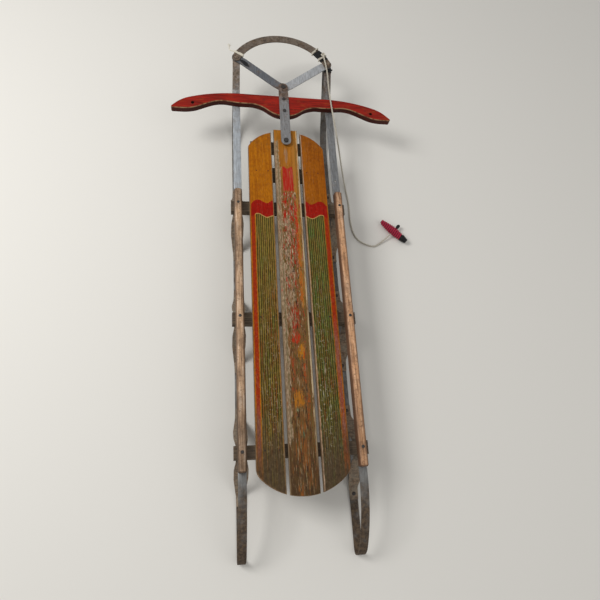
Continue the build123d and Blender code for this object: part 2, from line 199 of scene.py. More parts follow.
def routePoints(route, resolution):
    # points along the smooth line that the route's control points give
    smooth = {"order_u": 3, "use_endpoint_u": True, "resolution_u": resolution}
    mesh = drawnLine("cordRoute", "NURBS", [route], smooth)
    points = [vertex.co.copy() for vertex in mesh.vertices]
    bpy.data.meshes.remove(mesh)
    return points


def laidStrands(points, diameter, strands, layLength):
    # strands wound round the centreline
    strandRadius = cordSettings["strandShare"] * diameter / 2
    offset = diameter / 2 - strandRadius
    runs = [[] for strand in range(strands)]
    side = Vector((0, 0, 1))
    travelled = 0.0
    for index, point in enumerate(points):
        ahead = points[min(index + 1, len(points) - 1)] - points[max(index - 1, 0)]
        ahead.normalize()
        side = (side - ahead * side.dot(ahead)).normalized()
        other = ahead.cross(side)
        if index:
            travelled += (point - points[index - 1]).length
        for strand, run in enumerate(runs):
            angle = 2 * pi * (travelled / layLength + strand / strands)
            run.append(point + (side * cos(angle) + other * sin(angle)) * offset)
    return runs, strandRadius


cordLine = routePoints(cordSettings["route"], cordSettings["pointsBetween"])
runs, strandRadius = laidStrands(cordLine, *(cordSettings[size] for size in ("diameter", "strands", "layLength")))
pullCord = tubeMesh("pull_cord", runs, strandRadius, sides=1)
print("pull cord laid,", len(cordLine), "points along it")

# hand grip and knot

gripSettings = {
    "middle": (0.343, 0.137, 0.013),
    "turn": -44.0,
    # shapes that are spun round their own axis: place along it and radius
    "profile": [(-0.050, 0.007), (-0.034, 0.010), (-0.009, 0.013), (0.009, 0.013), (0.034, 0.010), (0.050, 0.007)],
    "tapeProfile": [
        (0.0290, 0.0080), (0.0292, 0.0107), (0.0300, 0.0109), (0.0362, 0.0098), (0.0365, 0.0094), (0.0425, 0.0086),
        (0.0428, 0.0082), (0.0480, 0.0073), (0.0495, 0.0068), (0.0499, 0.0055), (0.0499, 0.0),
    ],
    "knotProfile": [
        (-0.0090, 0.0), (-0.0090, 0.0027), (-0.0058, 0.0030), (-0.0048, 0.0042), (-0.0022, 0.0052),
        (-0.0004, 0.0049), (0.0006, 0.0049), (0.0026, 0.0054), (0.0052, 0.0049), (0.0076, 0.0034),
        (0.0088, 0.0022), (0.0090, 0.0),
    ],
    "knotLength": 0.018,
    "knotGap": 0.0003,
    "coreInset": 0.0024,
    "coreEnd": 0.0497,
    "yarn": 0.0046,  # thickness of the wound yarn
    # the core showing between the turns is painted dark, as shade in the grooves
    "pitch": 0.0068,  # from one turn to the next, with the dark core showing between
    "tapeFrom": 0.030,
}


def gripRadius(along):
    profile = gripSettings["profile"]
    for (low, lowRadius), (high, highRadius) in zip(profile, profile[1:]):
        if along <= high:
            share = (along - low) / (high - low)
            return lowRadius + (highRadius - lowRadius) * max(0.0, share)
    return profile[-1][1]


def windYarn(name, start, end, yarn, pitch, stepsPerTurn=28):
    # yarn wound round the spindle, from start to end along it
    points = []
    turnsDone = (end - start) / pitch
    steps = int(turnsDone * stepsPerTurn)
    for step in range(steps + 1):
        along = start + yarn / 2 + (end - start - yarn) * step / steps
        radius = gripRadius(along) - yarn / 2
        angle = 2 * pi * turnsDone * step / steps
        points.append(gripPlace @ Vector((along, radius * cos(angle), radius * sin(angle))))
    return tubeMesh(name, [points], yarn / 2, sides=2)


def spunShape(name, profile, place, segments=32):
    # one point drawn along a profile of (along, radius), then turned round the X axis with the spin tool
    bpy.ops.mesh.primitive_plane_add(size=0.001, location=(profile[0][0], 0, profile[0][1]))
    piece = bpy.context.object
    bpy.ops.object.mode_set(mode="EDIT")
    bpy.ops.mesh.select_mode(type="VERT")
    bpy.ops.mesh.select_all(action="SELECT")
    bpy.ops.mesh.merge(type="CENTER")
    for (along, radius), (nextAlong, nextRadius) in zip(profile, profile[1:]):
        reach = (nextAlong - along, 0, nextRadius - radius)
        bpy.ops.mesh.extrude_region_move(TRANSFORM_OT_translate={"value": reach})
    bpy.ops.mesh.select_all(action="SELECT")
    bpy.ops.mesh.spin(steps=segments, angle=2 * pi, center=(0, 0, 0), axis=(1, 0, 0))
    bpy.ops.mesh.select_all(action="SELECT")
    bpy.ops.mesh.remove_doubles(threshold=0.00002)
    bpy.ops.mesh.normals_make_consistent(inside=False)
    return settle(piece, name, turnTo=place, smoothAngle=40.0)


gripPlace = Matrix.Translation(gripSettings["middle"]) @ Matrix.Rotation(radians(gripSettings["turn"]), 4, "Z")
gripStart, coreEnd = gripSettings["profile"][0][0], gripSettings["coreEnd"]
gripWinding = windYarn("grip_winding", gripStart, *(gripSettings[size] for size in ("tapeFrom", "yarn", "pitch")))
coreProfile = [(along, radius - gripSettings["coreInset"]) for along, radius in gripSettings["profile"]]
gripCore = spunShape("grip_core", [(-coreEnd, 0.0), *coreProfile, (coreEnd, 0.0)], gripPlace)
gripTape = spunShape("grip_tape", gripSettings["tapeProfile"], gripPlace)

# the knot lies beside the grip's middle, pointing away from it
knotTurn = radians(gripSettings["turn"] + 90)
knotReach = gripRadius(0.0) + gripSettings["knotGap"] + gripSettings["knotLength"] / 2
knotMiddle = Vector(gripSettings["middle"]) + Vector((cos(knotTurn), sin(knotTurn), 0)) * knotReach
knotPlace = Matrix.Translation(knotMiddle) @ Matrix.Rotation(knotTurn, 4, "Z")
knot = spunShape("cord_end_knot", gripSettings["knotProfile"], knotPlace, segments=20)

# lashing on the bow and string at its left corner

lashingSettings = {
    "bowRadius": 0.15883,
    "bowCentre": (0.0, 0.58367, 0.1493),
    "halfWidth": 0.0125,
    "halfThick": 0.0015,
    "room": (0.0004, 0.0002),  # between a wound turn and the strip's sides and faces
    "flattened": (1.35, 1.9),  # how far a turn's round path is pressed square, across and through
    "cord": 0.0040,
    "turnsAt": (48.0, 36.0),  # degrees round the bow from its right-hand side
    "wraps": 1.15,
    "lean": 0.0030,  # each turn's ends lie this far apart along the bow
    "hitch": {"steps": 19, "turn": 0.45, "half": (0.0048, 0.0042), "from": (0.0, 0.001, -0.0030), "rise": 0.00028},
    "string": 0.0032,
    "stringAt": 148.0,
    "stringWraps": 2.2,
    "stringStart": -0.002,
    "stringTravel": 0.0045,
    "tailRoot": (0.0150, 0.003, 0.0022),
    "tail": [(-0.006, 0.003, -0.001), (-0.012, 0.007, -0.003), (-0.0155, 0.012, -0.003), (-0.0155, 0.019, -0.002)],
    "frayed": [(-0.005, 0.001), (-0.002, 0.004), (0.001, -0.001), (0.003, 0.003), (0.006, 0.0)],  # sideways and up
    "frayLength": 0.012,
    "fray": 0.0007,
}


def onBow(angle):
    # place on the bow's middle line: X points outward from its centre, Y along the strip
    way = radians(angle)
    outward = Vector((cos(way), sin(way), 0))
    middle = Vector(lashingSettings["bowCentre"]) + outward * lashingSettings["bowRadius"]
    return Matrix.Translation(middle) @ Matrix.Rotation(way, 4, "Z")


def wrapPoints(place, turns, start, travel, thickness, corner=6):
    # a flat spiral round the strip, lying on its faces
    reach, lift = (
        lashingSettings[size] + thickness / 2 + room
        for size, room in zip(("halfWidth", "halfThick"), lashingSettings["room"])
    )
    pressAcross, pressThrough = lashingSettings["flattened"]
    points = []
    steps = int(turns * 4 * corner)
    for step in range(steps + 1):
        share = step / steps
        angle = 2 * pi * turns * share + pi / 2
        across = max(-1.0, min(1.0, pressAcross * cos(angle)))
        through = max(-1.0, min(1.0, pressThrough * sin(angle)))
        points.append(place @ Vector((across * reach, start + travel * share, through * lift)))
    return points


lean = lashingSettings["lean"]
cordTurns = [
    wrapPoints(onBow(angle), lashingSettings["wraps"], -lean / 2, lean, lashingSettings["cord"])
    for angle in lashingSettings["turnsAt"]
]
# half hitch on top, where the cord leaves the second turn
hitchShape = lashingSettings["hitch"]
hitch = []
for step in range(hitchShape["steps"]):
    angle = hitchShape["turn"] * step
    loop = Vector((hitchShape["half"][0] * cos(angle), hitchShape["half"][1] * sin(angle), hitchShape["rise"] * step))
    hitch.append(Vector(cordSettings["route"][0]) + Vector(hitchShape["from"]) + loop)
lashing = tubeMesh("cord_lashing_turns", cordTurns + [hitch], lashingSettings["cord"] / 2, sides=2)

stringPlace = onBow(lashingSettings["stringAt"])
stringTurn = wrapPoints(
    stringPlace, *(lashingSettings[size] for size in ("stringWraps", "stringStart", "stringTravel", "string")),
)
tailRoot = stringPlace @ Vector(lashingSettings["tailRoot"])
stringTail = [stringTurn[-1], tailRoot] + [tailRoot + Vector(offset) for offset in lashingSettings["tail"]]
cornerString = tubeMesh("corner_string", [stringTurn, stringTail], lashingSettings["string"] / 2, sides=1)
frayed = []
for strand, (sideways, rise) in enumerate(lashingSettings["frayed"]):
    root = stringTail[-1]
    # the outer strands are shorter, and all of them sag from a small arch
    away = Vector((sideways, lashingSettings["frayLength"] - 0.0013 * abs(strand - 2), rise - 0.001))
    frayed.append([root, root + away * 0.5 + Vector((0, 0, 0.0012)), root + away])
stringFray = tubeMesh("corner_string_fray", frayed, lashingSettings["fray"], sides=1)
print("grip, knot and lashing made")

# runners and top strips

flexSettings = {
    "across": 0.143,  # runners and top strips lie this far to either side
    "corner": 0.640,  # from here forward the steel goes with the bow
    "runnerStart": 0.270,  # the front knee's foot ends here
    "stripStart": 0.200,  # the side rail ends here
    "cutEvery": 0.020,
    "edgeRound": 0.0007,
}


def flexingSteel(node, name, start):
    # the strip's own shape, cut across so that it can bend, with its edges worn round
    piece = putInScene(name, nodes[node].data.copy())
    pickOnly(piece)
    bpy.ops.object.mode_set(mode="EDIT")
    bpy.ops.mesh.select_all(action="SELECT")
    bpy.ops.mesh.remove_doubles(threshold=0.00001)
    bpy.ops.mesh.dissolve_limited(angle_limit=radians(1.0))
    bpy.ops.object.mode_set(mode="OBJECT")
    edge = {"limit_method": "ANGLE", "angle_limit": radians(50)}
    shapeWith(piece, "BEVEL", width=flexSettings["edgeRound"], segments=2, **edge)
    bpy.ops.object.mode_set(mode="EDIT")
    cut = start
    while cut < flexSettings["corner"]:
        bpy.ops.mesh.select_all(action="SELECT")
        bpy.ops.mesh.bisect(plane_co=(0, cut, 0), plane_no=(0, 1, 0))
        cut += flexSettings["cutEvery"]
    return settle(piece, name)


flexing = {}
for side in ("left", "right"):
    flexing["runner_" + side] = flexingSteel("runner_" + side, "runner_steel_" + side, flexSettings["runnerStart"])
    flexing["top_strip_" + side] = flexingSteel("top_strip_" + side, "strip_steel_" + side, flexSettings["stripStart"])
print("runners and strips cut for bending")

# rivets, bolts and nails

fastenerSettings = {
    "beams": (0.150, -0.181, -0.512),
    # the seat's height, then the head's radius, height, number of sides and rounding
    "railBolt": (0.1318, 0.0042, 0.0024, 16, 0.75),
    "footRivet": (0.0069, 0.0048, 0.0026, 16, 0.75),
    "nail": (0.1236, 0.0022, 0.0007, 10, 0.5),
    "footReach": 0.104,
    "nailAcross": (0.0899, 0.0559),
    "nailRows": (0.354, 0.260, 0.150, -0.181, -0.512),
    "nailStray": 0.0015,
}


def domedHead(kind, x, y):
    # a disc with its upper rim rolled over
    seat, radius, height, sides, rounding = fastenerSettings[kind]
    bpy.ops.mesh.primitive_cylinder_add(vertices=sides, radius=radius, depth=height, location=(x, y, seat + height / 2))
    piece = bpy.context.object
    pickFaces(piece, lambda centre, normal: normal.z > 0.9)
    bpy.ops.mesh.bevel(offset=min(radius, height) * rounding, segments=4, affect="EDGES")
    return settle(piece, kind)


heads = {"railBolt": [], "footRivet": [], "nail": []}
for side in (-1, 1):
    x = side * flexSettings["across"]
    for y in fastenerSettings["beams"]:
        heads["railBolt"].append(domedHead("railBolt", x, y))
        for end in (-1, 1):
            heads["footRivet"].append(domedHead("footRivet", x, y + end * fastenerSettings["footReach"]))
    for y in fastenerSettings["nailRows"]:
        for x in fastenerSettings["nailAcross"]:
            stray = fastenerSettings["nailStray"] * sin(9 * x * side + 7 * y)
            heads["nail"].append(domedHead("nail", side * x, y + stray))
railBolts = joinAll(heads["railBolt"], "rail_bolt_heads")
footRivets = joinAll(heads["footRivet"], "knee_foot_rivets")
deckNails = joinAll(heads["nail"], "deck_nail_heads")
print("fasteners made")

# tape at the right corner

tapeSettings = {
    # angle round the bow, thickness of the wrap there
    "onBow": ((44.9, 0.0011), (42.4, 0.0017), (39.8, 0.0012), (33.2, 0.0013)),
    # place along the right top strip, thickness, how far the loose edge stands out at the side
    "onStrip": ((0.6445, 0.0012, 0.0), (0.6375, 0.0018, 0.0042), (0.6300, 0.0011, 0.0)),
    "stripHeight": 0.1430,
    "stripHalf": (0.0110, 0.0015),
    "wide": 0.0088,
}


def tapeRing(place, halfWidth, halfThick, thick, flap=0.0):
    # one turn of tape round a strip: X across, Y along, Z through
    bpy.ops.mesh.primitive_cube_add(size=1.0, location=(0, 0, 0))
    piece = bpy.context.object
    piece.scale = (2 * (halfWidth + thick), tapeSettings["wide"], 2 * (halfThick + thick))
    bpy.ops.object.transform_apply()
    shapeWith(piece, "BEVEL", width=thick * 1.2, segments=3, limit_method="ANGLE")
    pickFaces(piece, lambda centre, normal: abs(normal.y) > 0.9)
    bpy.ops.mesh.delete(type="FACE")
    bpy.ops.object.mode_set(mode="OBJECT")
    shapeWith(piece, "SOLIDIFY", thickness=thick * 0.8, offset=-1.0)
    if flap:
        # the tape's end, pinched together and standing out: each step goes out, back and down, and shrinks
        pickFaces(piece, lambda centre, normal: normal.x > 0.9 and centre.x > halfWidth)
        for move, size, middleY in (((0.4, 0, 0), (1, 0.9, 0.35), 0), ((0.6, 0.3, -0.1), (1, 0.7, 0.6), 0.3)):
            bpy.ops.mesh.extrude_region_move(TRANSFORM_OT_translate={"value": Vector(move) * flap})
            bpy.ops.transform.resize(value=size, center_override=(halfWidth, middleY * flap, 0))
    return settle(piece, "tapeRing", turnTo=place)


bowHalf = lashingSettings["halfWidth"], lashingSettings["halfThick"]
bowTape = joinAll([tapeRing(onBow(angle), *bowHalf, thick) for angle, thick in tapeSettings["onBow"]], "corner_tape")
stripTape = joinAll([
    tapeRing(
        Matrix.Translation((flexSettings["across"], y, tapeSettings["stripHeight"])),
        *tapeSettings["stripHalf"], thick, flap,
    )
    for y, thick, flap in tapeSettings["onStrip"]
], "strip_tape")
print("tape wrapped")

# finishes

def startFinish(name):
    # a new material, what adds a node to it, and the object's own place in millimetres
    finish = bpy.data.materials.new(name)
    finish.use_nodes = True
    add = partial(addNode, finish.node_tree)
    objectPlace = add("TexCoord", out=3)
    place = add("VectorMath", [objectPlace, (1000.0, 1000.0, 1000.0)], operation="MULTIPLY")
    return finish, add, place


def closeFinish(finish, colour, roughness, relief=None, strength=0.4, depthMm=0.5, **others):
    # hands the shader what the eye sees of the finish; relief stands out by that depth
    looks = {"Base Color": colour, "Roughness": roughness, **others}
    if relief:
        bump = {"Strength": strength, "Distance": depthMm / 1000, "Height": relief}
        looks["Normal"] = addNode(finish.node_tree, "Bump", bump)
    fillSockets(finish.node_tree.nodes["Principled BSDF"], looks)
    return finish


def woodGrain(add, place, acrossMm, alongMm, detail=4.0, axis="Y"):
    # streaks along the board: noise squeezed across the grain and drawn out along it
    scale = [1 / acrossMm] * 3
    scale["XYZ".index(axis)] = 1 / alongMm
    stretched = add("Mapping", {"Vector": place, "Scale": scale})
    return add("TexNoise", {"Vector": stretched, "Scale": 1.0, "Detail": detail, "Roughness": 0.62})


def streaks(add, place, acrossMm, alongMm, low, high, bottom=0.0, top=1.0, detail=4.0, axis="Y"):
    # the same grain with more contrast: bottom where it is under low, top where it is over high
    grain = woodGrain(add, place, acrossMm, alongMm, detail, axis)
    return add("MapRange", [grain, low, high, bottom, top])


def speckle(add, place, sizeMm, low, high, detail=5.0, top=1.0):
    # patches of about that size, 0 outside and top inside, with a ragged edge
    spots = add("TexNoise", {"Vector": place, "Scale": 1 / sizeMm, "Detail": detail, "Roughness": 0.65})
    return add("MapRange", [spots, low, high, 0.0, top], interpolation_type="SMOOTHSTEP")


def band(add, value, low, high, soft):
    # 1 between low and high, falling to 0 over soft on both sides
    smooth = {"interpolation_type": "SMOOTHSTEP"}
    rising = add("MapRange", [value, low - soft, low + soft], **smooth)
    falling = add("MapRange", [value, high - soft, high + soft, 1.0, 0.0], **smooth)
    return add("Math", [rising, falling], operation="MULTIPLY")


def curveThrough(add, value, low, high, points, bottom, top):
    # a curve drawn through listed points: value runs from low to high, the result from bottom to top
    share = add("MapRange", [value, low, high])
    drawn = add("FloatCurve", {1: share})
    line = drawn.node.mapping.curves[0]
    spots = [((x - low) / (high - low), (y - bottom) / (top - bottom)) for x, y in points]
    line.points[0].location = spots[0]
    line.points[1].location = spots[-1]
    for spot in spots[1:-1]:
        line.points.new(*spot)
    drawn.node.mapping.update()
    return add("MapRange", {0: drawn, 3: bottom, 4: top})


def wornEdges(add, low=0.80, high=0.985):
    # 1 on faces that don't look straight up: chamfers, sides and ends
    faceWay = add("SeparateXYZ", [add("NewGeometry", out=3)], out=2)
    return add("MapRange", [faceWay, low, high, 1.0, 0.0])


def paintOver(add, colour, *coats, blend="MIX"):
    # brushes coats over a colour in turn; a coat is its tone and the masks that must all hold where it covers
    for tone, cover, *masks in coats:
        for mask in masks:
            cover = add("Math", [cover, mask], operation="MULTIPLY")
        colour = add("Mix", {0: cover, 6: colour, 7: tone}, out=2, data_type="RGBA", blend_type=blend)
    return colour


def flecks(add, place, shift, acrossMm, alongMm, cover, *limits):
    # paint left in streaky flecks along the grain; cover 0 leaves none and 1 nearly all
    scale = (1 / acrossMm, 1 / alongMm, 1 / acrossMm)
    shifted = add("Mapping", {"Vector": place, "Location": shift, "Scale": scale})
    spots = add("TexNoise", {"Vector": shifted, "Scale": 1.0, "Detail": 6.0, "Roughness": 0.72})
    for limit in limits:
        cover = add("Math", [cover, limit], operation="MULTIPLY")
    lift = add("MapRange", {0: cover, 3: -0.22, 4: 0.22})
    raised = add("Math", [spots, lift], operation="ADD")
    return add("MapRange", [raised, 0.47, 0.56], interpolation_type="SMOOTHSTEP")


slatPaint = {
    # one tone for both side boards, or the left one's and the right one's
    "tones": {
        "amber": ("#A8660C", "#98560A"), "amberDark": ("#8A4A05", "#7A3E05"), "amberDirt": "#6A3A10",
        "red": "#96170A", "redDark": "#7E0F04", "stripeRed": "#8C2A0A", "redWorn": "#7C4A3A",
        "field": ("#8E7634", "#7E7236"), "fieldDark": ("#6C5220", "#62501E"), "fieldRuddy": "#7A3A16",
        "moss": ("#66682A", "#506C30"), "pinstripe": ("#332C0E", "#2A2E10"), "outline": "#A88852",
        "bare": ("#8C7A5E", "#98907A"), "grey": "#493A29", "endGrain": "#4E3C2A", "edge": "#94785A",
        "lip": ("#7A6244", "#B0947C"),  # the worn edge beside the middle board
    },
    # the red band's edges, as distance from the deck's middle line and place along the deck, in mm
    "bandFront": [(43.5, 165), (50.5, 162), (61, 154.5), (72, 157.5), (85, 164.5), (97, 162), (106, 152), (112, 144)],
    "bandRear": [(43.5, 117), (51, 114.5), (64, 110), (75, 115), (85, 121), (94, 121), (99, 116), (112, 110)],
    "bandAcross": (46.0, 107.6),
    "outlineAcross": (46.0, 97.0),
    "fieldAcross": (46.6, 95.8),
    "lipAcross": (40.0, 46.2),
    "stripe": (98.0, 107.6),
    "stripeFadesFrom": (-420.0, -240.0),
    "stripeWorn": ((-600.0, -420.0, 50.0), (-500.0, -215.0, 40.0)),  # from, to, soft
    "scratchedTo": (80.0, 66.0),
    "pinstripePitch": 5.4,
}


def paintedAshSlat(side):
    # ash board, brushed with amber varnish and stencilled: satin, streaky along the grain, dull where worn through
    finish, add, place = startFinish("stencilled varnished ash " + side)
    which = ("left", "right").index(side)
    tones = {name: tone if isinstance(tone, str) else tone[which] for name, tone in slatPaint["tones"].items()}
    wobble = add("TexNoise", {"Vector": place, "Scale": 1 / 9.0, "Detail": 3.0})
    wobbleMm = add("MapRange", {0: wobble, 3: -1.2, 4: 1.2})
    axes = add("SeparateXYZ", [place])
    ruled = add("Math", [axes], operation="ABSOLUTE")
    across = add("Math", [ruled, wobbleMm], operation="ADD")
    along = add("Math", [axes.node.outputs[1], wobbleMm], operation="ADD")

    # varnished wood, 3 mm streaks so that they show from the camera, under broader dark blooms and dirt in front
    atFront = add("MapRange", [along, 330.0, 400.0, 0.0, 0.8])
    varnish = paintOver(
        add, tones["amberDark"],
        (tones["amber"], streaks(add, place, 3.0, 90.0, 0.30, 0.62)),
        (tones["amberDark"], speckle(add, place, 34.0, 0.47, 0.66, top=0.55)),
        (tones["amberDirt"], atFront, speckle(add, place, 16.0, 0.36, 0.60)),
    )

    # pinstripes on the rear part, ruled straight, on a mottled ground that is duller towards the tail
    ripple = add("Math", [ruled, 2 * pi / slatPaint["pinstripePitch"]], operation="MULTIPLY")
    lines = add("MapRange", [add("Math", [ripple], operation="SINE"), -0.20, 0.30])
    elsewhere = add("Mapping", {"Vector": place, "Location": (40, 9, 0)})
    ground = paintOver(
        add, tones["fieldDark"],
        (tones["field"], streaks(add, place, 2.5, 50.0, 0.38, 0.62)),
        (tones["moss"], streaks(add, elsewhere, 4.5, 60.0, 0.50, 0.62, top=0.8)),
        (tones["fieldRuddy"], streaks(add, place, 4.5, 50.0, 0.50, 0.64, detail=3.0),
         add("MapRange", [along, 100.0, -260.0, 0.25, 0.8])),
    )
    dulled = add("MapRange", [along, 60.0, -420.0, 0.96, 0.74])
    ground = paintOver(add, ground, (dulled, 1.0), blend="MULTIPLY")
    field = paintOver(add, ground, (tones["pinstripe"], lines, streaks(add, place, 3.0, 24.0, 0.30, 0.50, 0.20)))

    # how far a place lies behind the band's two waved edges
    behind, ahead = (
        add("Math", {
            0: curveThrough(add, across, 43.5, 112.0, slatPaint[edge], 90.0, 180.0), 1: along,
        }, operation="SUBTRACT")
        for edge in ("bandRear", "bandFront")
    )
    redTone = paintOver(add, tones["redDark"], (tones["red"], streaks(add, place, 4.0, 50.0, 0.3, 0.7)))
    stripeTone = paintOver(add, tones["stripeRed"], (
        tones["redWorn"], band(add, along, *slatPaint["stripeWorn"][which]),
        streaks(add, place, 6.0, 60.0, 0.25, 0.55),
    ))
    stripeLeft = add("Math", {
        0: add("MapRange", [along, -560.0, slatPaint["stripeFadesFrom"][which]]),
        1: streaks(add, place, 3.0, 30.0, 0.38, 0.56, top=0.8),
    }, operation="ADD", use_clamp=True)
    colour = paintOver(
        add, varnish,
        (field, band(add, across, *slatPaint["fieldAcross"], 0.6),
         add("MapRange", [behind, 2.2, 3.4])),
        # thin pale outline between band and pinstripes
        (tones["outline"], band(add, behind, 0.0, 2.4, 0.6), band(add, across, *slatPaint["outlineAcross"], 0.6)),
        # the stripe down the outer edge, and the red band that it runs on from
        (stripeTone, band(add, across, *slatPaint["stripe"], 0.7),
         add("MapRange", [behind, -12.0, -10.0]), stripeLeft,
         add("MapRange", [along, -590.0, -520.0])),
        (redTone, add("MapRange", [ahead, -0.6, 0.6]),
         add("MapRange", [behind, -0.6, 0.6, 1.0, 0.0]),
         band(add, across, *slatPaint["bandAcross"], 0.6)),
    )

    # scratches and rubbed spots: bare wood shows, more towards the tail and the middle
    scratchPlace = add("Mapping", {
        "Vector": place, "Rotation": (0, 0, radians(28)), "Scale": (1 / 2.2, 1 / 26.0, 1 / 10.0),
    })
    scratchNoise = add("TexNoise", {"Vector": scratchPlace, "Scale": 1.0, "Detail": 2.0})
    scratches = add("Math", {
        0: add("MapRange", [scratchNoise, 0.60, 0.70, 0.0, 0.9]),
        1: speckle(add, place, 5.0, 0.56, 0.66, top=0.75),
    }, operation="MAXIMUM")
    rearness = add("MapRange", [along, 100.0, -400.0, 0.12, 1.0])
    limit = slatPaint["scratchedTo"][which]
    scratchedAcross = add("MapRange", [across, limit, limit + 20.0, 1.0, 0.35])

    # weathered dark brown towards the tail
    weather = add("Math", {
        0: add("MapRange", [along, -380.0, -560.0, -0.20, 0.9]),
        1: streaks(add, place, 7.0, 70.0, 0.3, 0.7, -0.35, 0.35),
    }, operation="ADD", use_clamp=True)
    edgeTone = paintOver(add, tones["endGrain"], (tones["edge"], streaks(add, place, 3.0, 60.0, 0.25, 0.75)))
    colour = paintOver(
        add, colour,
        (tones["bare"], scratches, rearness, scratchedAcross),
        (tones["grey"], weather),
        # a bare lip beside the middle board, and worn edges all round
        (tones["lip"], band(add, across, *slatPaint["lipAcross"], 0.6),
         streaks(add, place, 5.0, 40.0, 0.30, 0.52, 0.2, 0.95)),
        (edgeTone, wornEdges(add)),
    )

    # grit and fine wear in the paint, 10 mm long so that it shows from the camera, stronger towards the tail
    grit = add("Math", {
        0: streaks(add, place, 4.0, 10.0, 0.30, 0.70, -0.40, 0.34),
        1: add("MapRange", [along, 200.0, -300.0, 0.55, 1.0]), 2: 1.0,
    }, operation="MULTIPLY_ADD")
    colour = paintOver(add, colour, (grit, 1.0), blend="MULTIPLY")
    # satin, duller where weathered, and old varnish has lost its shine
    gloss = add("MapRange", {0: weather, 3: 0.42, 4: 0.72})
    return closeFinish(finish, colour, gloss, woodGrain(add, place, 2.0, 60.0), 0.35, **{"Specular IOR Level": 0.08})


centrePaint = {
    # base wood along the board: place in mm and colour
    "base": [
        (-615, "#46331F"), (-540, "#533A22"), (-430, "#6A4A28"), (-250, "#6E4C2A"), (30, "#74502E"),
        (210, "#7C5628"), (290, "#985E1C"), (409, "#A0661E"),
    ],
    "bareTan": "#A08A70", "bareDull": "#77624A", "bareGrey": "#8E8376",
    # old paint left in flecks: colour, shift, size across and along in mm, and cover at the front and at the tail
    "flecks": [
        ("#50471E", (0, 9, 0), (3.2, 17.0), 0.48, 0.34),
        ("#34241A", (7, 1, 0), (2.8, 20.0), 0.34, 0.44),
        ("#B4A284", (5, 3, 0), (3.0, 14.0), 0.38, 0.12),
        ("#8A7456", (15, 6, 0), (2.6, 34.0), 0.20, 0.34),
        ("#98584A", (11, 5, 0), (4.2, 26.0), 0.42, 0.12),
        ("#962210", (3, 14, 0), (5.0, 26.0), 0.44, 0.10),
        ("#804C22", (23, 2, 0), (4.2, 55.0), 0.22, 0.38),
        ("#4C4A2A", (31, 7, 0), (3.2, 30.0), 0.10, 0.26),
    ],
    # thicker remnants: middle across, middle along, half sizes, colour, cover
    "remnants": [
        (17, 120, 5, 44, "#A8200E", 0.62), (18, 40, 5, 60, "#A03410", 0.58), (20, -60, 5, 90, "#A05216", 0.56),
        (0, -190, 12, 44, "#8E2412", 0.50), (-3, -240, 12, 18, "#A2260E", 0.58), (9, -274, 10, 24, "#A86C14", 0.60),
        (15, -300, 4, 55, "#A23C10", 0.55), (-2, -392, 14, 26, "#A4661A", 0.58), (20, -412, 6, 40, "#94481A", 0.52),
        (-4, -418, 6, 6, "#8E9C7A", 0.75), (0, -482, 6, 9, "#46604A", 0.60), (-14, -330, 6, 50, "#8A3A1C", 0.50),
    ],
    "amber": "#A06A2A", "cream": "#BBAA88", "olive": "#4A4A22", "red": "#9E1E10", "pink": "#A0503E",
    "endGrain": "#524030", "edge": "#9A8262",
    # front edge of the red panel, across the board and along it, in mm
    "panelFront": [(-20, 268), (-12, 279), (0, 272), (12, 279), (20, 268)],
    "panelAcross": (-14.5, 15.5),
    "panelRear": 196.0,
}


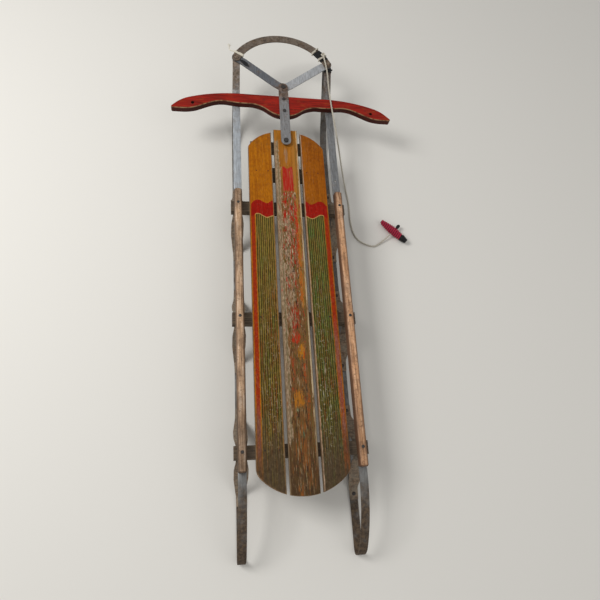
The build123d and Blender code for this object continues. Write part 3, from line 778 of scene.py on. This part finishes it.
def paintedCentreSlat():
    # the middle board, walked and sat on most: amber varnish and old paint, rubbed to flecks and bare wood
    finish, add, place = startFinish("worn painted ash centre")
    axes = add("SeparateXYZ", [place])
    wobble = add("TexNoise", {"Vector": place, "Scale": 1 / 8.0, "Detail": 4.0})
    wobbleMm = add("MapRange", {0: wobble, 3: -2.2, 4: 2.2})
    across = add("Math", [axes, wobbleMm], operation="ADD")
    along = add("Math", [wobbleMm, 2.5, axes.node.outputs[1]], operation="MULTIPLY_ADD")
    fromMiddle = add("Math", [across], operation="ABSOLUTE")

    tail, front = centrePaint["base"][0][0], centrePaint["base"][-1][0]
    base = add("ValToRGB", [add("MapRange", [along, tail, front])])
    ramp = base.node.color_ramp
    stops = [((y - tail) / (front - tail), hexColour(tone)) for y, tone in centrePaint["base"]]
    ramp.elements[0].position, ramp.elements[0].color = stops[0]
    ramp.elements[1].position, ramp.elements[1].color = stops[-1]
    for position, tone in stops[1:-1]:
        ramp.elements.new(position).color = tone
    shade = streaks(add, place, 3.0, 50.0, 0.3, 0.7, 0.62, 1.30)
    base = paintOver(add, base, (shade, 1.0), blend="MULTIPLY")

    # bare tan wood down the left and the middle, mottled; grey where the strap has rubbed; amber down the right
    bareTone = paintOver(add, centrePaint["bareDull"], (
        centrePaint["bareTan"], streaks(add, place, 3.2, 9.0, 0.40, 0.56, detail=6.0),
    ))
    leftBare = add("Math", {
        0: add("MapRange", [across, -15.0, -26.0, 0.0, 0.85]),
        1: band(add, along, -500.0, 372.0, 50.0),
    }, operation="MULTIPLY")
    middleBare = add("Math", {
        0: band(add, across, -24.0, 4.0, 10.0), 1: band(add, along, -240.0, 130.0, 60.0),
    }, operation="MULTIPLY")
    middleBare = add("Math", [middleBare, 0.72], operation="MULTIPLY")
    bareCover = add("Math", [leftBare, middleBare], operation="MAXIMUM")
    strapRub = band(add, across, -7.0, 3.0, 5.0), band(add, along, 292.0, 345.0, 16.0)
    rightAmber = band(add, across, 16.0, 29.0, 3.0), band(add, along, -160.0, 380.0, 50.0)
    coats = [
        (bareTone, flecks(add, place, (0, 0, 0), 5.0, 28.0, bareCover), 0.85),
        (centrePaint["bareGrey"], flecks(add, place, (0, 17, 0), 2.6, 22.0, *strapRub), 0.3),
        (centrePaint["amber"], flecks(add, place, (0, 31, 0), 5.0, 50.0, *rightAmber), 0.8),
    ]

    # flecks of old paint, thick behind the panel and thinner towards the tail and the sides
    sides = add("MapRange", [fromMiddle, 15.0, 25.0, 1.0, 0.72])
    painted = add("MapRange", [along, 189.0, 201.0, 1.0, 0.30])
    for tone, shift, size, atFront, atTail in centrePaint["flecks"]:
        cover = add("MapRange", [along, 150.0, -500.0, atFront, atTail])
        coats.append((tone, flecks(add, place, shift, *size, cover, sides, painted)))
    for middleX, middleY, halfX, halfY, tone, cover in centrePaint["remnants"]:
        patch = (
            band(add, across, middleX - halfX, middleX + halfX, 4.0),
            band(add, along, middleY - halfY, middleY + halfY, 14.0), cover,
        )
        coats.append((tone, flecks(add, place, (2 + middleY, 8, 0), 3.4, 13.0, *patch), 0.85))

    # a plain red panel near the front, with a waved front edge and streaks worn through it
    frontEdge = curveThrough(add, across, -20.0, 20.0, centrePaint["panelFront"], 240.0, 300.0)
    behindEdge = add("Math", [frontEdge, along], operation="SUBTRACT")
    panelRear = centrePaint["panelRear"]
    panelTone = paintOver(add, centrePaint["red"], (
        centrePaint["pink"], streaks(add, place, 3.5, 40.0, 0.45, 0.72),
    ))
    coats.append((
        panelTone, add("MapRange", [behindEdge, -1.0, 1.0]),
        add("MapRange", [along, panelRear - 3.0, panelRear + 3.0]),
        band(add, across, *centrePaint["panelAcross"], 0.9), streaks(add, place, 4.0, 30.0, 0.28, 0.40),
    ))

    # border lines: cream along the right edge, a broken olive one inside both edges
    lineLife = add("MapRange", [along, -560.0, -430.0])
    broken = streaks(add, place, 5.0, 50.0, 0.34, 0.48)
    edgeTone = paintOver(add, centrePaint["endGrain"], (
        centrePaint["edge"], streaks(add, place, 3.0, 60.0, 0.25, 0.75),
    ))
    coats += [
        (centrePaint["cream"], band(add, across, 30.5, 36.0, 0.6), lineLife, broken, 0.75),
        (centrePaint["olive"], band(add, fromMiddle, 25.0, 27.4, 0.6), lineLife, broken, 0.6),
        (edgeTone, wornEdges(add)),
    ]
    relief = woodGrain(add, place, 2.0, 60.0)
    return closeFinish(finish, paintOver(add, base, *coats), 0.55, relief, **{"Specular IOR Level": 0.08})


barPaint = {
    "shade": "#60110A", "red": "#9A2114", "thin": "#8E3A18", "scuffed": "#54201A", "chipped": "#4E2418",
    "bareDark": "#5A3622", "bare": "#8E7050", "shadedSideDark": "#2A130E", "side": "#4C1C14",
}


def redPaintedBar():
    # hardwood brushed with gloss red, handled for years: dull red, orange where thin, bare wood on its rear edge, and
    # painted shade on its sides
    finish, add, place = startFinish("red gloss paint on hardwood")
    thinPlace = add("Mapping", {"Vector": place, "Scale": (0.4, 1.0, 1.0)})
    scuffPlace = add("Mapping", {"Vector": place, "Location": (50, 0, 0), "Scale": (0.5, 1.0, 1.0)})
    surface = add("SeparateXYZ", [add("NewGeometry", out=3)])
    facing, upward = surface.node.outputs[1], surface.node.outputs[2]
    bareTone = paintOver(add, barPaint["bareDark"], (barPaint["bare"], speckle(add, place, 12.0, 0.36, 0.56)))
    shadedSideTone = paintOver(add, barPaint["shadedSideDark"], (
        barPaint["side"], streaks(add, place, 5.0, 45.0, 0.30, 0.70, axis="X"),
    ))
    colour = paintOver(
        add, barPaint["shade"],
        (barPaint["red"], streaks(add, place, 5.0, 70.0, 0.32, 0.66, axis="X")),
        (barPaint["thin"], speckle(add, thinPlace, 14.0, 0.53, 0.68, top=0.6)),
        (barPaint["scuffed"], speckle(add, scuffPlace, 9.0, 0.56, 0.66, top=0.6)),
        (barPaint["chipped"], speckle(add, place, 4.5, 0.64, 0.70, 3.0)),
        # the chamfer is worn bare, most on the rear side
        (bareTone, band(add, upward, 0.40, 0.90, 0.08),
         add("MapRange", [facing, 0.15, -0.25, 0.25, 1.0])),
        # painted shade: the front, rear, ends and underside are painted dark red-brown, with streaks of worn paint
        (shadedSideTone, add("MapRange", [upward, 0.40, 0.25])),
    )
    relief = woodGrain(add, place, 2.5, 50.0, axis="X")
    return closeFinish(finish, colour, 0.45, relief, 0.3, 0.4, **{"Specular IOR Level": 0.12})


def bareWood(name, pale, middle, dark, axis, acrossMm=3.0, alongMm=80.0, stains=0.5, edge=0.0, brightnessAlong=None):
    # wood that has lost its varnish: streaky, stained by wet and handling, quite matt; edge paints its sides and ends
    # darker than its top, as painted shade
    finish, add, place = startFinish(name)
    grain = woodGrain(add, place, acrossMm, alongMm, 5.0, axis)
    colour = add("ValToRGB", [add("MapRange", [grain, 0.28, 0.72])])
    ramp = colour.node.color_ramp
    ramp.elements[0].color = hexColour(dark)
    ramp.elements[1].color = hexColour(pale)
    ramp.elements.new(0.5).color = hexColour(middle)
    colour = paintOver(
        add, colour,
        (dark, speckle(add, place, 45.0, 0.46, 0.66, top=stains)),
        (dark, speckle(add, place, 5.0, 0.52, 0.64, top=0.55)),
        # painted shade: faces that don't look up are darkened by edge, so the top reads lighter than the sides
        (dark, wornEdges(add, 0.55, 0.97), edge),
    )
    if brightnessAlong:
        # lighter and darker along the board: (y in mm, brightness)
        along = add("SeparateXYZ", [place], out=1)
        shade = curveThrough(add, along, -560.0, 200.0, brightnessAlong, 0.0, 1.4)
        colour = paintOver(add, colour, (shade, 1.0), blend="MULTIPLY")
    return closeFinish(finish, colour, 0.55, grain, **{"Specular IOR Level": 0.25})


def rustedSteel(name, clean, rust, rustDark, rustAt, sizeMm, rough=0.42, soft=0.10, knotShadowMark=None):
    # rolled steel strip, mill grey where rubbed and brown rust where not: grey parts gleam, rust is dead matt
    finish, add, place = startFinish(name)
    along = add("SeparateXYZ", [place], out=1)
    blotches = add("TexNoise", {"Vector": place, "Scale": 1 / sizeMm, "Detail": 7.0, "Roughness": 0.68})
    # how rusty each place along the sled is: (y in mm, share)
    wanted = curveThrough(add, along, -760.0, 760.0, rustAt, 0.0, 1.0)
    level = add("Math", [blotches, wanted], operation="ADD")
    rusty = add("MapRange", [level, 1.02 - soft, 1.02 + soft], interpolation_type="SMOOTHSTEP")
    # streaks that brighten and darken the grey: partly brushing marks, partly painted highlight streaks
    brushedAndHighlightStreaks = streaks(add, place, 3.0, 26.0, 0.3, 0.7, 0.64, 1.24)
    metalTone = paintOver(add, clean, (brushedAndHighlightStreaks, 1.0), blend="MULTIPLY")
    rustTone = paintOver(add, rustDark, (rust, speckle(add, place, 7.0, 0.40, 0.62)))
    colour = paintOver(add, metalTone, (rustTone, rusty))
    if knotShadowMark:
        # painted shadow of the knot at the left corner, on the upper face: a black oval with a ragged edge, also made
        # matt
        local = add("Mapping", {
            "Vector": place, "Location": (*knotShadowMark["at"], 0), "Rotation": (0, 0, radians(knotShadowMark["turn"])),
            "Scale": (*knotShadowMark["half"], 1000.0),
        }, vector_type="TEXTURE")
        reach = add("VectorMath", [local], out=1, operation="LENGTH")
        ragged = add("Math", {
            0: reach, 1: add("MapRange", {0: blotches, 3: -0.7, 4: 0.7}),
        }, operation="ADD")
        faceWay = add("SeparateXYZ", [add("NewGeometry", out=3)], out=2)
        knotShadow = add("Math", {
            0: add("MapRange", [ragged, 0.85, 1.05, 1.0, 0.0]),
            1: add("MapRange", [faceWay, 0.4, 0.8]),
        }, operation="MULTIPLY")
        colour = paintOver(add, colour, (knotShadowMark["tone"], knotShadow))
        rusty = add("Math", [rusty, knotShadow], operation="MAXIMUM")
    pits = add("TexNoise", {"Vector": place, "Scale": 1 / 1.8, "Detail": 4.0})
    relief = add("Math", [pits, rusty], operation="MULTIPLY")
    metallic, roughness = (
        add("MapRange", {0: rusty, 3: atMetal, 4: atRust}) for atMetal, atRust in ((0.85, 0.0), (rough, 0.85))
    )
    return closeFinish(finish, colour, roughness, relief, 0.25, 0.3, Metallic=metallic)


def paintedNail():
    # wire nails brushed over with the deck's paint: they show as small dark spots in each colour
    finish, add, place = startFinish("painted wire nail steel")
    along = add("SeparateXYZ", [place], out=1)
    tone = add("ValToRGB", [add("MapRange", [along, -600.0, 400.0])])
    ramp = tone.node.color_ramp
    ramp.interpolation = "CONSTANT"
    ramp.elements[0].color = hexColour("#33291E")  # field, then the red band, the dirt ahead of it and the amber
    ramp.elements[1].position, ramp.elements[1].color = 0.72, hexColour("#86180A")
    for position, code in ((0.80, "#5A2808"), (0.92, "#8A520E")):
        ramp.elements.new(position).color = hexColour(code)
    return closeFinish(finish, tone, 0.5, **{"Specular IOR Level": 0.2})


def spunYarn(name, base, dark, fibreMm, fuzzSheen=0.25):
    # spun cotton: soft, matt, with fine lengthways fuzz
    finish, add, place = startFinish(name)
    fuzz = add("TexNoise", {"Vector": place, "Scale": 1 / fibreMm, "Detail": 4.0})
    lit = add("MapRange", [fuzz, 0.3, 0.7])
    colour = paintOver(add, dark, (base, lit), (dark, speckle(add, place, 30.0, 0.45, 0.65, top=0.35)))
    return closeFinish(finish, colour, 0.9, fuzz, 0.5, 0.3, **{"Sheen Weight": fuzzSheen})


def blackTape():
    # cloth-backed insulating tape: near black, slightly shiny, dusty in the folds
    finish, add, place = startFinish("black insulating tape")
    wrinkles = add("TexNoise", {"Vector": place, "Scale": 1 / 2.5, "Detail": 3.0})
    colour = paintOver(add, "#08080A", ("#3A3630", speckle(add, place, 6.0, 0.50, 0.72, top=0.25)))
    return closeFinish(finish, colour, 0.5, wrinkles, depthMm=0.4, **{"Specular IOR Level": 0.3})


finishes = {
    "slatLeft": paintedAshSlat("left"),
    "slatRight": paintedAshSlat("right"),
    "slatCentre": paintedCentreSlat(),
    "bar": redPaintedBar(),
    "railLeft": bareWood(
        "worn ash rail left", "#D8C0A8", "#B08E6E", "#543E2C", "Y", 4.0, 60.0, stains=0.5, edge=0.85,
        brightnessAlong=[(-560, 0.50), (-440, 0.66), (-340, 1.02), (-60, 0.98), (20, 0.80), (80, 1.18), (150, 0.98),
                 (180, 0.72), (200, 0.70)],
    ),
    "railRight": bareWood(
        "worn ash rail right", "#E0BC9C", "#B88A64", "#543826", "Y", 4.0, 80.0, stains=0.45, edge=0.9,
        brightnessAlong=[(-560, 0.86), (-430, 0.90), (-300, 1.20), (-160, 1.00), (-60, 1.10), (60, 1.12), (140, 0.98),
                 (180, 0.74), (200, 0.70)],
    ),
    "beam": bareWood("weathered oak beam", "#7A6A54", "#5F5040", "#3A3026", "X", 3.0, 60.0),
    "runner": rustedSteel(
        "rolled runner steel", "#7E7E7C", "#584734", "#382B1E",
        [(-760, 0.94), (-700, 0.78), (-640, 0.70), (-615, 0.60), (-595, 0.50), (-575, 0.38), (-555, 0.28),
         (-530, 0.42), (300, 0.52), (600, 0.55), (760, 0.6)], sizeMm=26.0, rough=0.5, soft=0.30,
    ),
    # the left strip's grey is painted paler, as sunlight with highlights, and the right strip's darker, as shade: lit
    # and shaded copies of one steel
    "stripLeft": rustedSteel(
        "rolled left strip steel", "#C2C8CD", "#7A6B5E", "#524638",
        [(-760, 0.35), (120, 0.50), (215, 0.36), (260, 0.28), (400, 0.34), (480, 0.46), (540, 0.56),
         (570, 0.74), (620, 0.84), (690, 0.88), (760, 0.88)], sizeMm=18.0, rough=0.36, soft=0.34,
    ),
    # painted shade: this strip's grey and rust are darker than the left one's
    "stripRight": rustedSteel(
        "rolled right strip steel", "#8E8F90", "#66584C", "#443830",
        [(-760, 0.35), (120, 0.50), (215, 0.42), (260, 0.34), (500, 0.40), (560, 0.58), (680, 0.68),
         (760, 0.66)], sizeMm=16.0, rough=0.42, soft=0.20,
    ),
    "strap": rustedSteel(
        "rolled strap steel", "#989797", "#6E5A4C", "#45362C",
        [(-760, 0.3), (340, 0.34), (480, 0.40), (525, 0.62), (545, 0.70), (760, 0.5)],
        sizeMm=12.0, rough=0.40, soft=0.18,
    ),
    # the left strut's grey is painted darker, as shade, and the right strut's paler, as sunlight: lit and shaded copies
    # of one steel
    "strutLeft": rustedSteel(
        "rolled left strut steel", "#7A7D82", "#62503F", "#4A3A2E",
        [(-760, 0.3), (540, 0.72), (570, 0.52), (600, 0.38), (640, 0.42), (760, 0.5)],
        sizeMm=14.0, rough=0.38, soft=0.18,
        # painted shadow of the corner knot, cast on this strut's upper face
        knotShadowMark={"at": (-117.0, 634.0), "half": (21.0, 7.5), "turn": -37.0, "tone": "#0C0C12"},
    ),
    # painted sunlight: this strut's grey is paler than the left one's
    "strutRight": rustedSteel(
        "rolled right strut steel", "#BEC0C2", "#86766A", "#554438",
        [(-760, 0.3), (540, 0.58), (570, 0.40), (640, 0.36), (760, 0.5)], sizeMm=14.0, rough=0.36, soft=0.18,
    ),
    "bow": rustedSteel(
        "browned bow steel", "#86796C", "#63513F", "#3C3026",
        [(-760, 0.5), (640, 0.56), (700, 0.54), (760, 0.52)], sizeMm=20.0, rough=0.5, soft=0.16,
    ),
    "knee": rustedSteel(
        "pressed knee steel", "#A09888", "#907860", "#5E4A38",
        [(-760, 0.60), (0, 0.60), (760, 0.60)], sizeMm=24.0, rough=0.5, soft=0.3,
    ),
    "bolt": rustedSteel(
        "forged bolt steel", "#4A4846", "#3E2E24", "#221A16",
        [(-760, 0.5), (0, 0.5), (760, 0.5)], sizeMm=4.0, rough=0.5,
    ),
    "nail": paintedNail(),
    "rivet": rustedSteel(
        "rusted corner rivet steel", "#A09484", "#6E543E", "#3E2C20",
        [(-760, 0.5), (0, 0.55), (760, 0.55)], sizeMm=5.0, rough=0.5,
    ),
    "cord": spunYarn("laid cotton cord", "#D2CBBB", "#9C9484", 0.9),
    "string": spunYarn("frayed white string", "#E4DECE", "#B4AC98", 0.7),
    "grip": spunYarn("crimson wound yarn", "#C01440", "#860E2C", 0.8, 0.08),
    # painted shade: the core's dark maroon shows between the yarn turns as the shaded grooves
    "grooveShadeCore": spunYarn("dark core cord", "#480E1A", "#26070E", 1.2, 0.0),
    "tape": blackTape(),
}
print("finishes mixed")

wearers = {
    # each finish's CAD nodes and made pieces
    "slatLeft": ["deck_slat_left"], "slatRight": ["deck_slat_right"], "slatCentre": ["deck_slat_centre"],
    "beam": ["crossbeam_front", "crossbeam_middle", "crossbeam_rear", "deck_cleat_front", "deck_cleat_second"],
    "railLeft": ["side_rail_left"], "railRight": ["side_rail_right"],
    "runner": ["runner_left", "runner_right", "runner_steel_left", "runner_steel_right"],
    "stripLeft": ["top_strip_left", "strip_steel_left"], "stripRight": ["top_strip_right", "strip_steel_right"],
    "bar": ["steering_bar"], "strap": ["steering_strap"],
    "bow": ["front_bow"], "strutLeft": ["strut_left"], "strutRight": ["strut_right"],
    "bolt": ["bar_bolts", "pivot_bolt", "linkage_pin", "rail_bolt_heads", "knee_foot_rivets"],
    "rivet": ["corner_rivets"], "nail": ["deck_nail_heads"],
    "knee": [f"knee_{place}_{side}" for place in ("front", "middle", "rear") for side in ("left", "right")],
    "cord": ["cord", "pull_cord", "cord_lashing_turns"], "string": ["corner_string", "corner_string_fray"],
    "grip": ["hand_grip", "grip_winding"], "grooveShadeCore": ["grip_core"],
    "tape": ["cord_lashing", "cord_knot", "grip_tape", "cord_end_knot", "corner_tape", "strip_tape"],
}
for finish, names in wearers.items():
    for name in names:
        dress(nodes[name] if name in nodes else bpy.data.objects[name], finishes[finish])

# floor and light

floorSettings = {"size": 9.0, "tone": "#DAD7D0", "height": -0.0005}
bpy.ops.mesh.primitive_plane_add(size=floorSettings["size"], location=(0, 0, floorSettings["height"]))
floor = bpy.context.object
floor.name = "studio_floor"
floorPaper = bpy.data.materials.new("matt backdrop paper")
floorPaper.use_nodes = True
fillSockets(floorPaper.node_tree.nodes["Principled BSDF"], {"Base Color": floorSettings["tone"], "Roughness": 0.95})
dress(floor, floorPaper)

lightSettings = {
    # a big soft lamp on the left and a little ahead, as the shadows fall to the right, and a weak one opposite
    "lamps": {
        "keyLamp": ((-1.9, 0.35, 2.1), {"size": 1.1, "energy": 48.0}),
        "fillLamp": ((1.6, -1.2, 2.4), {"size": 2.0, "energy": 9.0}),
    },
    "sky": 0.50,
}
for name, (place, settings) in lightSettings["lamps"].items():
    lamp = putInScene(name, setAll(bpy.data.lights.new(name, "AREA"), {"shape": "SQUARE", **settings}))
    lamp.location = place
    lamp.rotation_euler = (-Vector(lamp.location)).to_track_quat("-Z", "Y").to_euler()

world = bpy.data.worlds.new("studioSky")
bpy.context.scene.world = world
world.use_nodes = True
fillSockets(world.node_tree.nodes["Background"], {"Color": (1.0, 1.0, 1.0, 1.0), "Strength": lightSettings["sky"]})
bpy.context.scene.view_settings.view_transform = "Standard"
print("studio set")

# bodies

for piece in (railBolts, footRivets, deckNails, gripWinding, gripCore, gripTape, knot):
    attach(piece, "sled")
for piece in (lashing, bowTape, stripTape, cornerString, stringFray):
    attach(piece, "front")

for name, piece in flexing.items():
    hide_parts(name)
    x = flexSettings["across"] * (-1 if name.endswith("left") else 1)
    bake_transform(piece)

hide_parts("cord_lashing")
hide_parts("hand_grip")
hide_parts("cord_knot")
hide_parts("cord")
x = flexSettings["across"]
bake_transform(pullCord)
